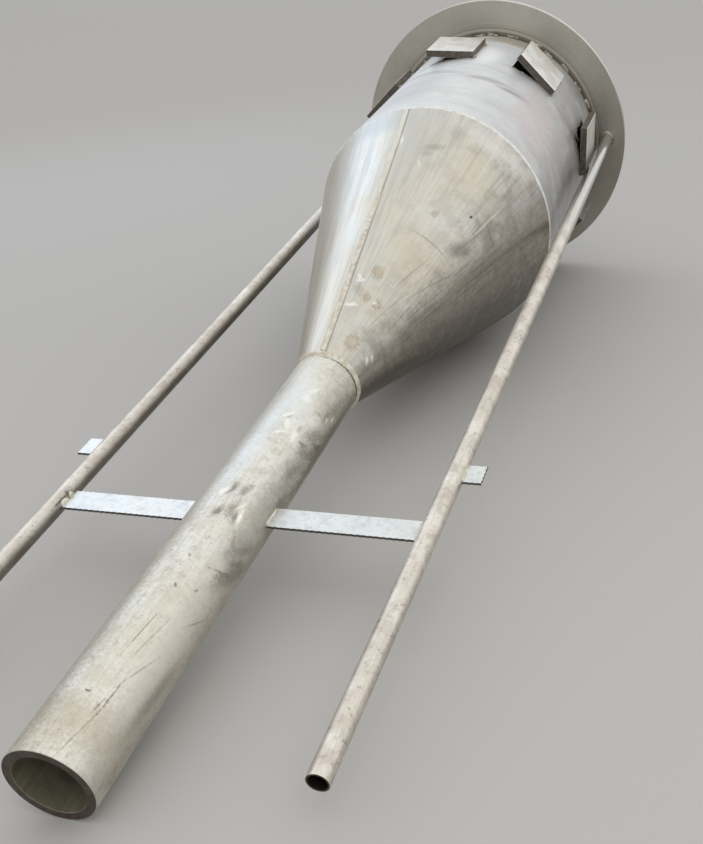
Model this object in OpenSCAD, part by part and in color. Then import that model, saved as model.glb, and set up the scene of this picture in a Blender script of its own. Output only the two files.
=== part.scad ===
// Cyclone separator that hangs by a ring flange: a barrel with eight tangential inlets
// under thick hood plates, a cone, a thick-walled dipleg and two side tubes that are
// braced to the dipleg. The origin is on the axis, in the plane of the ring flange's
// underside, with +Z up and the dipleg pointing down. Sizes are in millimetres.

/* [Barrel] */
// Outside diameter of the barrel
barrel_d = 600; // [500:10:800]
// Length of the barrel from the ring flange's underside to the cone
barrel_l = 663; // [450:1:900]
// Wall of the barrel and the cone
shell_wall = 6; // [4:0.5:10]

/* [Cone] */
// Height of the cone
cone_l = 782; // [600:1:1100]

/* [Dipleg] */
// Outside diameter of the dipleg
dipleg_d = 133; // [100:0.5:170]
// Wall of the dipleg
dipleg_wall = 14; // [8:0.5:20]
// Length of the dipleg below the cone
dipleg_l = 1001; // [700:1:1300]

/* [Ring flange] */
// Width of the ring flange outside the barrel
flange_w = 92; // [80:1:160]
// Thickness of the ring flange
flange_t = 16; // [12:1:25]

/* [Head] */
// Thickness of the roof plate inside the top of the barrel
roof_t = 8; // [5:1:12]
// Outside diameter of the gas outlet pipe
outlet_d = 273; // [200:1:320]
// Wall of the gas outlet pipe
outlet_wall = 6; // [4:0.5:10]
// How far the outlet pipe stands above the ring flange
outlet_rise = 60; // [20:1:120]
// How far the outlet pipe hangs below the ring flange's underside
outlet_drop = 300; // [220:1:400]

/* [Inlet hoods] */
// Angle from +X to the line where the first hood plate touches the barrel
hood_angle = 3.5; // [0:0.5:8]
// Width of a hood plate along the barrel's girth
hood_w = 130; // [100:1:150]
// Height of a hood plate along the barrel
hood_h = 140; // [110:1:170]
// Thickness of a hood plate
hood_t = 18; // [8:1:22]
// How far a hood plate runs on past the line where it touches the barrel
hood_lap = 4; // [2:1:10]
// Drop from the ring flange's underside to a hood plate
hood_drop = 100; // [60:1:120]
// Width of the slot cut in the barrel under each hood plate
slot_w = 110; // [50:1:112]
// Shell left between the slot and the line where its hood plate touches the barrel
slot_land = 10; // [6:1:20]
// How far the hood plate covers the shell above and below its slot
slot_lip = 4; // [2:1:12]

/* [Side tubes] */
// Outside diameter of a side tube
tube_d = 33.7; // [26.9:0.1:42.4]
// Wall of a side tube
tube_wall = 3.2; // [2:0.1:5]
// Gap between the plane of the hood plates' outer faces and a side tube
tube_gap = 5; // [4:0.5:12]
// Length of a side tube below the ring flange's underside
tube_l = 2376; // [2200:1:2420]

/* [Braces and tabs] */
// Width of the flat bar of the braces and tabs
bar_w = 50; // [30:1:80]
// Thickness of the flat bar
bar_t = 5; // [4:0.5:10]
// Drop from the ring flange's underside to the middle of the braces
brace_drop = 1879; // [1850:1:2050]
// Drop from the ring flange's underside to the middle of the tabs
tab_drop = 1717; // [1600:1:1760]
// How far a tab stands out from its side tube
tab_out = 33; // [20:1:50]

/* [Welds] */
// Width of the bead between cone and dipleg
dipleg_weld = 16; // [8:1:20]
// Height of that bead over the dipleg
dipleg_weld_h = 3; // [1:0.5:5]
// Width of the beads on the shell's seams
seam_w = 9; // [6:1:14]
// Height of the beads over the shell
seam_h = 1.6; // [1:0.1:3]
// Angle of the cone's straight seam, from +X
seam_angle = -95; // [-150:1:-60]
// Leg of the stitch welds between barrel and ring flange
stitch_leg = 7; // [5:0.5:10]
// Share of the girth that the stitch welds cover
stitch_share = 0.62; // [0.4:0.02:0.8]
// Leg of the fillet welds round the side tubes
tube_weld = 6; // [4:0.5:8]
// Leg of the fillet welds at the flat bars' ends
bar_weld = 4; // [3:0.5:6]
// Length of the tack welds at the hood plates' corners
tack_l = 22; // [12:1:35]
// Leg of the tack welds
tack_leg = 7; // [4:0.5:10]

/* [Hidden] */
// Gap between round faces that fit into each other, and from a plate to the shell it touches
fit = 0.3;
// Gap under a weld bead, which lies on the metal
seat = 0.05;
hoods = 8;
stitches = 32;
$fn = 96;

barrel_r = barrel_d / 2;
barrel_in = barrel_r - shell_wall;
flange_r = barrel_r + flange_w;
dipleg_r = dipleg_d / 2;
tube_r = tube_d / 2;
cone_z = -barrel_l;
mouth_z = cone_z - cone_l;
end_z = mouth_z - dipleg_l;
mouth_out = dipleg_r;
mouth_in = mouth_out - shell_wall;
// Lean of the cone's side from upright, and the length of that side
cone_lean = atan2(barrel_r - mouth_out, cone_l);
cone_side = cone_l / cos(cone_lean);
hood_in = barrel_r + fit;
hood_out = hood_in + hood_t;
tube_x = hood_out + tube_gap + tube_r;
brace_x0 = dipleg_r + fit;
brace_x1 = tube_x - tube_r - fit;
tab_x0 = tube_x + tube_r + fit;
tab_x1 = tab_x0 + tab_out;

// Points of a low crown across a chord: w wide, h high, from -w/2 to w/2
function crown(w, h, steps = 8) =
    let (r = (w * w / 4 + h * h) / (2 * h), half = asin(w / 2 / r))
    [for (k = [0:steps]) let (a = half * (2 * k / steps - 1)) [r * cos(a) - (r - h), r * sin(a)]];

module ring(r_in, r_out, z0, z1) {
    translate([0, 0, z0])
        difference() {
            cylinder(r = r_out, h = z1 - z0);
            translate([0, 0, -1]) cylinder(r = r_in, h = z1 - z0 + 2);
        }
}

// Turns a hood's own frame to its place: its X points out through the line of contact
module at_hood(i) {
    rotate([0, 0, hood_angle - (i - 1) * 360 / hoods]) children();
}

module ring_flange() {
    color("#8d877d")
        difference() {
            ring(barrel_r + fit, flange_r, 0, flange_t);
            for (side = [-1, 1])
                translate([side * tube_x, 0, -1]) cylinder(r = tube_r + fit, h = flange_t + 2);
        }
}

module barrel_shell() {
    slot_h = hood_h - 2 * slot_lip;
    color("#c9ccce")
        difference() {
            ring(barrel_in, barrel_r, cone_z, flange_t);
            for (i = [1:hoods])
                at_hood(i)
                    translate([barrel_r * 0.8, -slot_land - slot_w, -hood_drop - slot_lip - slot_h])
                        cube([barrel_r * 0.2 + 1, slot_w, slot_h]);
        }
}

module cone_shell() {
    color("#b9b3a8")
        rotate_extrude()
            polygon([
                [mouth_in, mouth_z],
                [mouth_out, mouth_z],
                [barrel_r, cone_z],
                [barrel_in, cone_z]
            ]);
}

module dipleg_pipe() {
    color("#b5b0a4") ring(dipleg_r - dipleg_wall, dipleg_r, end_z, mouth_z);
}

module roof_plate() {
    color("#b0aca4") ring(outlet_d / 2 + fit, barrel_in - fit, 0, roof_t);
}

module outlet_pipe() {
    color("#bcb9b2") ring(outlet_d / 2 - outlet_wall, outlet_d / 2, -outlet_drop, flange_t + outlet_rise);
}

module hood_plate(i) {
    color("#c4bfb5")
        at_hood(i)
            translate([hood_in, hood_lap - hood_w, -hood_drop - hood_h])
                cube([hood_t, hood_w, hood_h]);
}

module side_tube(side) {
    color("#bdb7aa")
        translate([side * tube_x, 0, 0])
            ring(tube_r - tube_wall, tube_r, -tube_l, flange_t);
}

module flat_bar(x0, x1, drop) {
    translate([x0, -bar_t / 2, -drop - bar_w / 2]) cube([x1 - x0, bar_t, bar_w]);
}

module brace(side) {
    color("#d3d6d8") mirror([side < 0 ? 1 : 0, 0, 0]) flat_bar(brace_x0, brace_x1, brace_drop);
}

module tab(side) {
    color("#d3d6d8") mirror([side < 0 ? 1 : 0, 0, 0]) flat_bar(tab_x0, tab_x1, tab_drop);
}

// One fillet bead on each wide face of a flat bar, where its end meets a round pipe at
// pipe_x. way is 1 for a bar that runs outwards from the pipe and -1 for one that ends there
module bar_end_welds(pipe_x, pipe_r, way, drop) {
    for (face = [-1, 1])
        difference() {
            translate([pipe_x, face * (bar_t / 2 + seat), -drop - bar_w / 2 + bar_weld])
                linear_extrude(bar_w - 2 * bar_weld)
                    polygon([
                        [way * pipe_r * 0.6, 0],
                        [way * (pipe_r + bar_weld), 0],
                        [way * pipe_r * 0.9, face * bar_weld],
                        [way * pipe_r * 0.6, face * bar_weld]
                    ]);
            translate([pipe_x, 0, -drop - bar_w]) cylinder(r = pipe_r + seat, h = 2 * bar_w);
        }
}

module brace_welds(side) {
    color("#a79f90")
        mirror([side < 0 ? 1 : 0, 0, 0]) {
            bar_end_welds(0, dipleg_r, 1, brace_drop);
            bar_end_welds(tube_x, tube_r, -1, brace_drop);
        }
}

module tab_weld(side) {
    color("#a79f90")
        mirror([side < 0 ? 1 : 0, 0, 0]) bar_end_welds(tube_x, tube_r, 1, tab_drop);
}

module flange_stitch_welds() {
    pitch = 360 / stitches;
    color("#a0917c")
        for (k = [0:stitches - 1])
            rotate([0, 0, k * pitch])
                rotate_extrude(angle = pitch * stitch_share)
                    polygon([
                        [barrel_r + seat, -seat],
                        [barrel_r + stitch_leg, -seat],
                        [barrel_r + stitch_leg * 0.62, -stitch_leg * 0.62],
                        [barrel_r + seat, -stitch_leg]
                    ]);
}

module hood_tack_welds() {
    color("#a0917c")
        for (i = [1:hoods])
            at_hood(i)
                for (z = [-hood_drop - tack_l, -hood_drop - hood_h])
                    translate([0, 0, z])
                        difference() {
                            linear_extrude(tack_l)
                                polygon([
                                    [barrel_r - 1, hood_lap + seat],
                                    [hood_in + tack_leg, hood_lap + seat],
                                    [hood_in + tack_leg * 0.55, hood_lap + tack_leg * 0.55],
                                    [barrel_r - 1, hood_lap + tack_leg]
                                ]);
                            translate([0, 0, -1]) cylinder(r = barrel_r + seat, h = tack_l + 2, $fn = 720);
                        }
}

module barrel_cone_weld() {
    color("#d0d0cc")
        rotate_extrude()
            polygon(concat(
                [[barrel_r + seat, cone_z]],
                [for (p = crown(seam_w, seam_h))
                    [barrel_r + seat + p[0] + min(0, p[1]) * tan(cone_lean), cone_z + p[1]]]
            ));
}

module cone_seam_weld() {
    color("#d0cdc4")
        rotate([0, 0, seam_angle])
            translate([mouth_out, 0, mouth_z])
                rotate([0, cone_lean, 0])
                    translate([seat, 0, dipleg_weld * 0.6])
                        linear_extrude(cone_side - dipleg_weld * 0.6 - seam_w)
                            polygon(crown(seam_w, seam_h));
}

module cone_dipleg_weld() {
    color("#b09b78")
        rotate_extrude()
            polygon(concat(
                [[mouth_out + seat, mouth_z]],
                [for (p = crown(dipleg_weld, dipleg_weld_h))
                    [mouth_out + seat + p[0] + max(0, p[1]) * tan(cone_lean), mouth_z + p[1]]]
            ));
}

module tube_weld(side) {
    color("#b7ab98")
        translate([side * tube_x, 0, 0])
            rotate_extrude()
                polygon([
                    [tube_r + seat, -seat],
                    [tube_r + tube_weld, -seat],
                    [tube_r + tube_weld * 0.62, -tube_weld * 0.62],
                    [tube_r + seat, -tube_weld]
                ]);
}

ring_flange();
barrel_shell();
cone_shell();
dipleg_pipe();
roof_plate();
outlet_pipe();
hood_plate(1);  // hood_plate_1
hood_plate(2);  // hood_plate_2
hood_plate(3);  // hood_plate_3
hood_plate(4);  // hood_plate_4
hood_plate(5);  // hood_plate_5
hood_plate(6);  // hood_plate_6
hood_plate(7);  // hood_plate_7
hood_plate(8);  // hood_plate_8
side_tube(1);  // side_tube_right
side_tube(-1);  // side_tube_left
brace(1);  // brace_right
brace(-1);  // brace_left
tab(1);  // tab_right
tab(-1);  // tab_left
flange_stitch_welds();
hood_tack_welds();
barrel_cone_weld();
cone_seam_weld();
cone_dipleg_weld();
tube_weld(1);  // tube_weld_right
tube_weld(-1);  // tube_weld_left
brace_welds(1);  // brace_welds_right
brace_welds(-1);  // brace_welds_left
tab_weld(1);  // tab_weld_right
tab_weld(-1);  // tab_weld_left
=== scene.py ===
from math import atan, ceil, cos, hypot, pi, radians, sin, sqrt, tau
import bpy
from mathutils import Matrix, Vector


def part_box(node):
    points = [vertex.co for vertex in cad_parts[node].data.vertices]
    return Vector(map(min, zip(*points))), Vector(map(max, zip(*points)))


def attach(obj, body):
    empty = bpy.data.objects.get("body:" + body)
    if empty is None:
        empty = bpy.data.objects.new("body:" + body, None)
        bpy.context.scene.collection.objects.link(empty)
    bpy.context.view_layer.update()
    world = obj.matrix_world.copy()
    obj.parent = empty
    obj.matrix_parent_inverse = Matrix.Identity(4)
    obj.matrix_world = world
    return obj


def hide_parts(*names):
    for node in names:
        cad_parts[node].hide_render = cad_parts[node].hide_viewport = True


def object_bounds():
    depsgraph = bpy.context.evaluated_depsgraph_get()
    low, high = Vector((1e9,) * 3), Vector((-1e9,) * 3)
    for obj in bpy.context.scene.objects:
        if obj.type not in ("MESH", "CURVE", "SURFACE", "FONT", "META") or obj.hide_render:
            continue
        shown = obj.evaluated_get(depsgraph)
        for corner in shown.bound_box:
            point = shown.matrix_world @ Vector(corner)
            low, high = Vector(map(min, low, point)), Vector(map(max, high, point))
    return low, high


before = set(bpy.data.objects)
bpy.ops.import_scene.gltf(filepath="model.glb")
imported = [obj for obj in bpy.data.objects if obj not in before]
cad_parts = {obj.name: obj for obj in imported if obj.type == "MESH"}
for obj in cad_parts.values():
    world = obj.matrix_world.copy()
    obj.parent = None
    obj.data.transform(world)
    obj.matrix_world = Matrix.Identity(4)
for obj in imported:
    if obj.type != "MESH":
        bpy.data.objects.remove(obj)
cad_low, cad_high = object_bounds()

from types import SimpleNamespace

import bmesh
import bpy
from mathutils import Matrix, Vector, noise


# Camera
# The photograph was taken from beyond the dipleg's open end, looking along the pipe and the
# cone to the flange, with the separator lying on its back.
PHOTO_W, PHOTO_H = 703, 844
FOCAL_PX = 1054.5
SIGHT_PX = (440.0, 498.0)
SENSOR = 36.0
CAMERA_AT = (0.8157, -1.0218, -3.1108)
camera_data = bpy.data.cameras.new("camera")
camera_data.sensor_width = SENSOR
camera_data.lens = FOCAL_PX / PHOTO_H * SENSOR
camera_data.shift_x = (PHOTO_W / 2 - SIGHT_PX[0]) / PHOTO_H
camera_data.shift_y = (SIGHT_PX[1] - PHOTO_H / 2) / PHOTO_H
camera = bpy.data.objects.new("camera", camera_data)
bpy.context.scene.collection.objects.link(camera)
camera_right = Vector((0.95734, 0.10533, 0.26908))
camera_down = Vector((0.07784, 0.80278, -0.59118))
camera_axes = Matrix((camera_right, -camera_down, camera_right.cross(-camera_down))).transposed()
camera.matrix_world = Matrix.Translation(CAMERA_AT) @ camera_axes.to_4x4()
bpy.context.scene.camera = camera


# Studio
# A pale floor under the separator as it lies, touching the flange's rim and the dipleg's end.
# The room is bright above and on one side, and dimmer on the other.
def linear(code):
    """The linear colour of an sRGB hex value."""
    parts = [int(code[i:i + 2], 16) / 255 for i in (1, 3, 5)]
    return tuple(p / 12.92 if p <= 0.04045 else ((p + 0.055) / 1.055) ** 2.4
                 for p in parts) + (1.0,)


def add(tree, kind, settings=None, **sockets):
    """Adds a shader node. settings are its own fields. sockets give values, outputs, or nodes
    for their first output, by input name with _ for a space, or by number after a leading _."""
    made = tree.nodes.new("ShaderNode" + kind)
    for field, value in (settings or {}).items():
        setattr(made, field, value)
    for name, value in sockets.items():
        key = int(name[1:]) if name[1:].isdigit() else name.replace("_", " ")
        if isinstance(value, bpy.types.Node):
            value = value.outputs[0]
        if isinstance(value, bpy.types.NodeSocket):
            tree.links.new(value, made.inputs[key])
        else:
            made.inputs[key].default_value = value
    return made


SMOOTH = {"interpolation_type": "SMOOTHSTEP"}
flange_low, flange_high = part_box("ring_flange")
dipleg_low, dipleg_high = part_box("dipleg_pipe")
barrel_low, barrel_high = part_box("barrel_shell")
cone_low, cone_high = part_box("cone_shell")

rim_touch = Vector((0, flange_high.y, flange_low.z))
end_touch = Vector((0, dipleg_high.y, dipleg_low.z))
floor_run = (rim_touch - end_touch).normalized()
floor_up = Vector((1, 0, 0)).cross(floor_run).normalized()
floor_side = floor_run.cross(floor_up)
FLOOR_REACH = 60.0
FLOOR_GAP = 0.001
floor_mesh = bpy.data.meshes.new("floor")
floor_mesh.from_pydata(
    [rim_touch - floor_up * FLOOR_GAP + floor_run * a * FLOOR_REACH + floor_side * b * FLOOR_REACH
     for a, b in ((-1, -1), (-1, 1), (1, 1), (1, -1))], [], [(0, 1, 2, 3)])
floor = bpy.data.objects.new("floor", floor_mesh)
bpy.context.scene.collection.objects.link(floor)
floor.visible_shadow = False

# The floor is plain near the separator and clears into the pale room far from it. It is clear
# from below too, so that the separator can be looked at from there.
FLOOR_NEAR, FLOOR_FAR = 8.0, 45.0
floor_paint = bpy.data.materials.new("pale_studio_floor")
floor_paint.use_nodes = True
tree = floor_paint.node_tree
tree.nodes.clear()
face = add(tree, "NewGeometry")
off = add(tree, "VectorMath", {"operation": "DISTANCE"}, _0=face.outputs["Position"],
          _1=(rim_touch + end_touch) / 2)
far = add(tree, "MapRange", SMOOTH, _0=off.outputs["Value"], _1=FLOOR_NEAR, _2=FLOOR_FAR)
gone = add(tree, "Math", {"operation": "MAXIMUM"}, _0=far, _1=face.outputs["Backfacing"])
matt = add(tree, "BsdfDiffuse", Color=linear("#b3b1ae"))
clear = add(tree, "BsdfTransparent")
laid = add(tree, "MixShader", _0=gone, _1=matt, _2=clear)
add(tree, "OutputMaterial", Surface=laid)
floor_mesh.materials.append(floor_paint)

world = bpy.data.worlds.new("studio")
bpy.context.scene.world = world
world.use_nodes = True
sky = world.node_tree
sky.nodes.clear()
BRIGHT_SIDE = Vector((0.25, -0.90, 0.30)).normalized()
DIM_TO, LIT_FROM = -0.38, 0.62
ROOM_LEVEL = 1.12
heading = add(sky, "TexCoord")
toward = add(sky, "VectorMath", {"operation": "DOT_PRODUCT"}, _0=heading.outputs["Generated"],
             _1=BRIGHT_SIDE)
share = add(sky, "MapRange", SMOOTH, _0=toward.outputs["Value"], _1=DIM_TO, _2=LIT_FROM)
air = add(sky, "Mix", {"data_type": "RGBA"}, Factor=share, _6=linear("#767472"),
          _7=linear("#f7f8f9"))
light = add(sky, "Background", Color=air.outputs[2], Strength=ROOM_LEVEL)
add(sky, "OutputWorld", Surface=light)

bpy.context.scene.view_settings.view_transform = "Standard"

LAMP_DISTANCE = 4.5


def lamp(name, way, size, watts, colour):
    """A soft lamp that faces the middle of the separator from that way."""
    data = bpy.data.lights.new(name, "AREA")
    data.shape = "RECTANGLE"
    data.size, data.size_y = size
    data.energy = watts
    data.color = linear(colour)[:3]
    made = bpy.data.objects.new(name, data)
    bpy.context.scene.collection.objects.link(made)
    way = Vector(way).normalized()
    made.location = Vector((0, 0, (cad_low.z + cad_high.z) / 2)) + way * LAMP_DISTANCE
    made.rotation_mode = "QUATERNION"
    made.rotation_quaternion = way.to_track_quat("Z", "Y")


lamp("window_light", (-0.64, -0.48, 0.60), (1.7, 3.4), 17, "#cddfff")
lamp("front_light", (0.40, -0.85, -0.35), (3.0, 3.0), 28, "#fffaf4")
lamp("back_light", (-0.20, 0.85, -0.45), (3.0, 3.0), 5, "#ffffff")


# Barrel
# The barrel is stainless plate rolled to 600 mm and left with its bright mill finish. The rolls
# leave faint marks round it, and the heat of the flange weld leaves a tan band at its top.
MM = 0.001
AXIS_LAY, GIRTH_LAY, SLANT_LAY = "axis", "girth", "slant"
# Marks of making are drawn out to 20 times their width, and on the cone they are spaced as on
# a ring of SLANT_R. The torn edges of scuffs follow crumbs of CRUMB.
DRAWN_OUT = 0.05
SLANT_R = 200 * MM
CRUMB, CRUMB_DEPTH = 5 * MM, 2.4


def bare_metal(name, lay, tone, radius_at=None, middle_x=0.0):
    """Starts a finish. It holds the place on the piece, the same drawn out along the marks of
    its making, and the skin unrolled to an angle and a height. radius_at gives the skin's
    radius at a height, for single marks."""
    made = bpy.data.materials.new(name)
    made.use_nodes = True
    tree = made.node_tree
    tree.nodes.clear()
    place = add(tree, "TexCoord").outputs["Object"]
    centred = add(tree, "VectorMath", {"operation": "SUBTRACT"}, _0=place, _1=(middle_x, 0, 0))
    parts = add(tree, "SeparateXYZ", _0=centred)
    angle = add(tree, "Math", {"operation": "ARCTAN2"}, _0=parts.outputs["Y"],
                _1=parts.outputs["X"])
    unrolled = add(tree, "CombineXYZ", X=angle, Y=parts.outputs["Z"])
    flat = add(tree, "VectorMath", {"operation": "MULTIPLY"}, _0=centred, _1=(1, 1, 0))
    from_axis = add(tree, "VectorMath", {"operation": "LENGTH"}, _0=flat)
    if lay == SLANT_LAY:
        ring = add(tree, "VectorMath", {"operation": "NORMALIZE"}, _0=flat)
        ring = add(tree, "VectorMath", {"operation": "SCALE"}, _0=ring, Scale=SLANT_R)
        drawn = add(tree, "VectorMath", {"operation": "MULTIPLY_ADD"}, _0=centred,
                    _1=(0, 0, DRAWN_OUT), _2=ring)
    else:
        squeeze = (DRAWN_OUT, DRAWN_OUT, 1) if lay == GIRTH_LAY else (1, 1, DRAWN_OUT)
        drawn = add(tree, "VectorMath", {"operation": "MULTIPLY"}, _0=centred, _1=squeeze)
    crumbs = add(tree, "TexNoise", Vector=place, Scale=1 / CRUMB, Detail=4.0, Roughness=0.7)
    ragged = add(tree, "Math", {"operation": "MULTIPLY_ADD"}, _0=crumbs.outputs["Fac"],
                 _1=CRUMB_DEPTH, _2=-CRUMB_DEPTH / 2)
    return SimpleNamespace(
        material=made, tree=tree, place=place, drawn=drawn, unrolled=unrolled, angle=angle,
        height=parts.outputs["Z"], from_axis=from_axis.outputs["Value"], flat=flat,
        ragged=ragged, colour=linear(tone), rough=0.4, radius_at=radius_at)


def lay_over(finish, tone, share, thin=None):
    """Lays a tone over the finish so far. thin scales its share."""
    if thin:
        share = add(finish.tree, "Math", {"operation": "MULTIPLY"}, _0=share, _1=thin)
    finish.colour = add(finish.tree, "Mix", {"data_type": "RGBA"}, Factor=share, _6=finish.colour,
                        _7=linear(tone)).outputs[2]


NOISE_SPREAD = 0.36


def stain(finish, tone, size, cover, share, drawn=False, dulls=0.0, soft=0.10, where=None):
    """Lays a tone over the metal in patches of about that size. cover is how much of the metal
    the patches take, dulls is how much rougher they are, and where thins them out."""
    grain = add(finish.tree, "TexNoise", Vector=finish.drawn if drawn else finish.place,
                Scale=1 / size, Detail=4.0, Roughness=0.6)
    middle = 0.5 + (0.5 - cover) * NOISE_SPREAD
    patch = add(finish.tree, "MapRange", SMOOTH, _0=grain.outputs["Fac"], _1=middle - soft,
                _2=middle + soft, _4=share)
    if where:
        patch = add(finish.tree, "Math", {"operation": "MULTIPLY"}, _0=patch, _1=where)
    lay_over(finish, tone, patch)
    if dulls:
        finish.rough = add(finish.tree, "Math", {"operation": "MULTIPLY_ADD"}, _0=patch,
                           _1=dulls / share, _2=finish.rough)


def patch_at(finish, angle, height, long, wide, tilt, share=1.0, soft=0.45, torn=0.8):
    """One patch of the skin: angle and height of its middle, half its length and width in
    millimetres, and its tilt from the girth. torn is how ragged and broken it is."""
    radius = finish.radius_at(height * MM)
    near = add(finish.tree, "VectorMath", {"operation": "MULTIPLY_ADD"}, _0=finish.unrolled,
               _1=(radius, 1, 0), _2=(-radians(angle) * radius, -height * MM, 0))
    turned = add(finish.tree, "Mapping", {"vector_type": "TEXTURE"}, Vector=near,
                 Rotation=(0, 0, radians(tilt)), Scale=(long * MM, wide * MM, 1))
    reach = add(finish.tree, "VectorMath", {"operation": "LENGTH"}, _0=turned)
    edge = add(finish.tree, "Math", {"operation": "MULTIPLY_ADD"}, _0=finish.ragged, _1=torn,
               _2=reach.outputs["Value"])
    return add(finish.tree, "MapRange", SMOOTH, _0=edge, _1=1 - soft, _2=1 + soft, _3=share,
               _4=0.0)


def scuff(finish, marks, soft=0.45, torn=0.8):
    """Single marks on the skin, each a patch with its tone and share."""
    for angle, height, long, wide, tilt, tone, share in marks:
        lay_over(finish, tone,
                 patch_at(finish, angle, height, long, wide, tilt, share, soft, torn))


LOW_WAY = (0.75, 0.66, 0)


def low_side(finish, clean_to, full_from):
    """0 on the side that was up while it lay, to 1 on the side that lay low, for dirt and painted
    shade there. Both limits run from -1 right on top to 1 right below."""
    out = add(finish.tree, "VectorMath", {"operation": "NORMALIZE"}, _0=finish.flat)
    down = add(finish.tree, "VectorMath", {"operation": "DOT_PRODUCT"}, _0=out, _1=LOW_WAY)
    return add(finish.tree, "MapRange", SMOOTH, _0=down.outputs["Value"], _1=clean_to,
               _2=full_from)


HEAT_DRIFT = 34 * MM


def weld_heat(finish, tone, height, reach, share):
    """The tint that weld heat leaves above and below that height, with a drifting edge."""
    off = add(finish.tree, "Math", {"operation": "SUBTRACT"}, _0=finish.height, _1=height)
    off = add(finish.tree, "Math", {"operation": "ABSOLUTE"}, _0=off)
    drift = add(finish.tree, "TexNoise", Vector=finish.place, Scale=1 / HEAT_DRIFT)
    off = add(finish.tree, "Math", {"operation": "MULTIPLY_ADD"}, _0=drift.outputs["Fac"],
              _1=reach, _2=off)
    band = add(finish.tree, "MapRange", SMOOTH, _0=off, _1=reach * 0.6, _2=reach * 1.5, _3=share,
               _4=0.0)
    lay_over(finish, tone, band)


def inner_side(finish, radius, tone):
    """The bare inner side and cut edges, which lie closer to the axis than that."""
    inner = add(finish.tree, "MapRange", _0=finish.from_axis, _1=radius - 0.5 * MM, _2=radius,
                _3=1.0, _4=0.0)
    lay_over(finish, tone, inner)


def close_finish(finish, metallic=1.0, relief=0.05 * MM, grain=1.2 * MM, swell=0.8 * MM,
                 swell_size=110 * MM, drawn_swell=False):
    """Ends a finish with its fine relief, drawn as coarse as it needs to show, and the slow
    waves that rolling or drawing leaves."""
    fine = add(finish.tree, "TexNoise", Vector=finish.drawn, Scale=1 / grain, Detail=2.0)
    marks = add(finish.tree, "Bump", Strength=1.0, Distance=relief, Height=fine.outputs["Fac"])
    slow = add(finish.tree, "TexNoise", Vector=finish.drawn if drawn_swell else finish.place,
               Scale=1 / swell_size, Detail=1.0)
    waves = add(finish.tree, "Bump", Strength=1.0, Distance=swell, Height=slow.outputs["Fac"],
                Normal=marks)
    metal = add(finish.tree, "BsdfPrincipled", Base_Color=finish.colour, Metallic=metallic,
                Roughness=finish.rough, Normal=waves)
    add(finish.tree, "OutputMaterial", Surface=metal)
    return finish.material


def dress(node, material):
    """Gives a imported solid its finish."""
    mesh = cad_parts[node].data
    for i in range(len(mesh.materials)):
        mesh.materials[i] = material


BARREL_R = barrel_high.x
BARREL_END = barrel_low.z
FLANGE_UNDERSIDE = flange_low.z
# Stainless plate, rolled: a satin grey that takes the light of the room in broad soft bands.
bright_plate = bare_metal("bright_rolled_stainless", GIRTH_LAY, "#dcdedd", lambda z: BARREL_R)
DULL_DOWN_TO, SATIN_FROM = -200 * MM, -420 * MM
DULL_ROUGH, SATIN_ROUGH = 0.58, 0.36
bright_plate.rough = add(bright_plate.tree, "MapRange", SMOOTH, _0=bright_plate.height,
                         _1=SATIN_FROM, _2=DULL_DOWN_TO, _3=SATIN_ROUGH, _4=DULL_ROUGH)
stain(bright_plate, "#d8d9d9", 240 * MM, 0.5, 0.8)
stain(bright_plate, "#c6c6c5", 11 * MM, 0.4, 0.3, drawn=True, dulls=0.05)
# The low side is darker: painted shade, with smudges in it.
smudged_and_shaded = low_side(bright_plate, -0.6, 0.65)
lay_over(bright_plate, "#9b9895", smudged_and_shaded, thin=0.85)
stain(bright_plate, "#b9b5b6", 70 * MM, 0.3, 0.35, dulls=0.06, soft=0.18)
stain(bright_plate, "#9d9896", 31 * MM, 0.22, 0.4, soft=0.12, where=smudged_and_shaded)
stain(bright_plate, "#e6e9ea", 60 * MM, 0.3, 0.35, soft=0.2)
# Smudges of handling, with painted shade, a painted shadow and a painted light patch among them.
scuff(bright_plate, [
    (-109, -330, 120, 16, -20, "#a39ca3", 0.45), (-56, -400, 46, 10, 10, "#8c8484", 0.6),
    (-72, -388, 50, 14, 6, "#96908f", 0.5), (-107, -140, 90, 12, -8, "#a8a2a4", 0.4),
    (-61, -380, 62, 2.5, 0, "#8f8986", 0.5), (-40, -450, 60, 150, 8, "#c9bdbb", 0.5),
    # Next line: heat tint by the flange, then a thin painted shadow line for a narrow slit beside
    # one slot.
    (-72, -38, 90, 26, 0, "#b09e82", 0.6), (-112.8, -238, 15, 1.8, 4, "#2e2b28", 0.95),
    # Painted shade under the plates along the slots' lower lips and over the barrel's right side,
    # and one darker patch low on the left.
    (-58, -240, 50, 14, 0, "#8f8c88", 0.4), (-100, -246, 60, 9, 3, "#a5a29c", 0.5),
    (-12, -246, 60, 14, 0, "#857f79", 0.5), (-8, -360, 34, 130, 0, "#857f7b", 0.65),
    (-26, -240, 44, 44, 0, "#8c8783", 0.4), (-104, -500, 70, 110, 0, "#b1b1b2", 0.45),
    # Painted light where a plate's shadow falls on the barrel.
    (-83, -200, 50, 70, 0, "#f2f3f3", 0.75)])
weld_heat(bright_plate, "#a89a84", FLANGE_UNDERSIDE, 20 * MM, 0.6)
weld_heat(bright_plate, "#5e564c", FLANGE_UNDERSIDE, 7 * MM, 0.8)
weld_heat(bright_plate, "#eef1f0", BARREL_END, 9 * MM, 0.6)
inner_side(bright_plate, BARREL_R - 0.6 * MM, "#8b857c")
dress("barrel_shell", close_finish(bright_plate, metallic=0.8, swell=1.0 * MM))


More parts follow.
